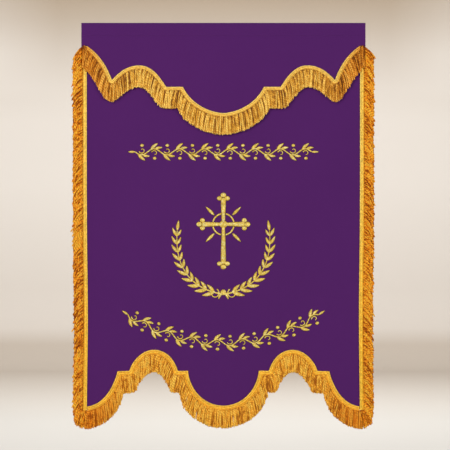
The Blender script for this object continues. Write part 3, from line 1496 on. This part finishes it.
def add_camera():
    """The photograph's square-on camera. Returns its height and its distance from the cloth."""
    distance = PHOTO_PIXELS * METRES_PER_PIXEL * CAMERA_LENS_MM / SENSOR_MM
    right = (PHOTO_PIXELS / 2 - BANNER_MIDDLE_PIXEL) * METRES_PER_PIXEL
    height = -(PHOTO_PIXELS / 2 - TOP_EDGE_PIXEL) * METRES_PER_PIXEL
    data = bpy.data.cameras.new("camera")
    data.lens, data.sensor_width = CAMERA_LENS_MM, SENSOR_MM
    camera = bpy.data.objects.new("camera", data)
    camera.location = (right, -distance, height)
    camera.rotation_euler = (math.radians(90), 0, 0)
    bpy.context.scene.collection.objects.link(camera)
    bpy.context.scene.camera = camera
    return height, distance


# How much of the backdrop's shade shows at a walk along it from its foot: floor before, wall after
WallShade = namedtuple("WallShade", "walk shade")
WALL_SHADES = (
    WallShade(walk=-4.4, shade=0.02),
    WallShade(walk=-3.2, shade=0.06),
    WallShade(walk=-2.2, shade=0.20),
    WallShade(walk=-1.0, shade=0.35),
    WallShade(walk=0.0, shade=0.50),
    WallShade(walk=0.18, shade=0.20),
    WallShade(walk=0.45, shade=0.10),
    WallShade(walk=1.20, shade=0.0),
    WallShade(walk=1.60, shade=0.05),
    WallShade(walk=1.84, shade=0.17),
    WallShade(walk=2.10, shade=0.43),
    WallShade(walk=2.28, shade=0.66),
    WallShade(walk=2.45, shade=0.84),
)


def shade_backdrop(bench, floor, studio):
    """The floor's colour, then the wall's, darkened towards the wall's foot and its top."""
    place = bench.add("ShaderNodeTexCoord").outputs["Object"]
    parts = bench.add("ShaderNodeSeparateXYZ", {0: place})
    on_floor = bench.maths("SUBTRACT", parts.outputs["Y"], WALL_DISTANCE)
    on_wall = bench.maths("SUBTRACT", parts.outputs["Z"], floor)
    walk = bench.maths("ADD", on_floor, on_wall)
    low, high = WALL_SHADES[0].walk, WALL_SHADES[-1].walk
    share = bench.maths("DIVIDE", bench.maths("SUBTRACT", walk, low), high - low)
    ramp = bench.add("ShaderNodeValToRGB", {"Fac": share})
    elements = ramp.color_ramp.elements
    for step in WALL_SHADES[1:-1]:
        elements.new((step.walk - low) / (high - low))
    for element, step in zip(elements, WALL_SHADES):
        element.position = (step.walk - low) / (high - low)
        element.color = (step.shade, step.shade, step.shade, 1.0)
    out = bench.maths("ABSOLUTE", parts.outputs["X"])
    side = bench.rise(out, *WALL_SIDE_FADE, most=WALL_SIDE_LESS)
    less = bench.maths("MULTIPLY", side, bench.rise(walk, *WALL_TOP_FADE))
    dark = bench.maths("MAXIMUM", bench.maths("SUBTRACT", ramp.outputs["Color"], less), 0.0)
    near = bench.rise(walk, 0.0, -3.0)
    light = bench.mix(near, list(studio.wall_colour), list(studio.floor_colour))
    return bench.mix(dark, light, list(studio.shade_colour))


def add_backdrop(studio, camera_height, camera_distance):
    """A pale floor that curves up into a wall, whose foot shows where it does in the photograph."""
    material, shader, bench = new_finish("studio_wall", roughness=0.9, specular=0.1)
    below = (WALL_FOOT_PIXEL - PHOTO_PIXELS / 2) * METRES_PER_PIXEL
    floor = camera_height - below * (camera_distance + WALL_DISTANCE) / camera_distance
    dye(bench, shader, shade_backdrop(bench, floor, studio), scale=0.35, amount=0.06)
    bpy.ops.object.select_all(action="DESELECT")
    middle = (0, WALL_DISTANCE - FLOOR_SIZE / 2, floor)
    bpy.ops.mesh.primitive_plane_add(size=FLOOR_SIZE, location=middle)
    stage = bpy.context.active_object
    stage.name = "backdrop"
    bpy.ops.object.mode_set(mode="EDIT")
    bpy.ops.mesh.select_mode(type="EDGE")
    bpy.ops.mesh.select_all(action="DESELECT")
    bpy.ops.object.mode_set(mode="OBJECT")
    for edge in stage.data.edges:
        edge.select = all(stage.data.vertices[v].co.y > 0 for v in edge.vertices)
    bpy.ops.object.mode_set(mode="EDIT")
    bpy.ops.mesh.extrude_region_move(TRANSFORM_OT_translate={"value": (0, 0, WALL_HEIGHT)})
    bpy.ops.object.mode_set(mode="OBJECT")
    bevel = stage.modifiers.new("cove", "BEVEL")
    bevel.width = COVE_WIDTH
    bevel.segments = COVE_STEPS
    bpy.ops.object.modifier_apply(modifier=bevel.name)
    bpy.ops.object.transform_apply(location=True, rotation=True, scale=True)
    stage.data.shade_smooth()
    stage.data.materials.append(material)


class BANNER_OT_hang_cloths(Operator):
    """Hang the two cloths, each with all that is sewn on it"""

    bl_idname = "banner.hang_cloths"
    bl_label = "Hang the cloths"

    def execute(self, context):
        return {"FINISHED"}


class BANNER_OT_set_stage(Operator):
    """Set up the pale backdrop, the soft lights and the camera"""

    bl_idname = "banner.set_stage"
    bl_label = "Studio"

    def execute(self, context):
        studio = context.scene.banner_studio
        height, distance = add_camera()
        add_backdrop(studio, height, distance)
        for light in LIGHTS:
            power = getattr(studio, light.setting)
            add_area_light(light.name, light.place, (0, 0, height), light.size, power)
        foot = (0, WALL_DISTANCE, 0.0)
        add_area_light("wall", WALL_LIGHT_PLACE, foot, WALL_LIGHT_SIZE, studio.wall_power)
        world = bpy.data.worlds.new("studio_air")
        world.use_nodes = True
        air = world.node_tree.nodes["Background"]
        air.inputs["Color"].default_value = AIR_COLOUR
        air.inputs["Strength"].default_value = studio.ambient
        context.scene.world = world
        context.scene.view_settings.view_transform = "Standard"
        return {"FINISHED"}


class BANNER_PT_maker(Panel):
    """Lists the steps that make the banner"""

    bl_label = "Church Banner"
    bl_idname = "BANNER_PT_maker"
    bl_space_type = "VIEW_3D"
    bl_region_type = "UI"
    bl_category = "Banner"

    def draw(self, context):
        for step in STEPS:
            self.layout.operator(step.bl_idname)
        for name in SETTINGS:
            settings = getattr(context.scene, name)
            box = self.layout.box()
            for key in settings.bl_rna.properties.keys():
                if key not in ("rna_type", "name"):
                    box.prop(settings, key)


SETTINGS = {
    "banner_cloth": BannerCloth,
    "banner_fringe": BannerFringe,
    "banner_stitching": BannerStitching,
    "banner_studio": BannerStudio,
}
STEPS = (
    BANNER_OT_set_stage,
    BANNER_OT_cut_panel,
    BANNER_OT_cut_valance,
    BANNER_OT_trim_valance,
    BANNER_OT_trim_hem,
    BANNER_OT_trim_sides,
    BANNER_OT_sew_seams,
    BANNER_OT_stitch_emblem,
    BANNER_OT_stitch_vines,
    BANNER_OT_hang_cloths,
)


def register():
    for item in (*SETTINGS.values(), *STEPS, BANNER_PT_maker):
        bpy.utils.register_class(item)
    for name, item in SETTINGS.items():
        setattr(bpy.types.Scene, name, PointerProperty(type=item))


def unregister():
    for name in SETTINGS:
        delattr(bpy.types.Scene, name)
    for item in reversed((*SETTINGS.values(), *STEPS, BANNER_PT_maker)):
        bpy.utils.unregister_class(item)


def main():
    register()
    mix_finishes(bpy.context.scene)
    for step in STEPS:
        space, action = step.bl_idname.split(".")
        getattr(getattr(bpy.ops, space), action)()


if __name__ == "__main__":
    main()
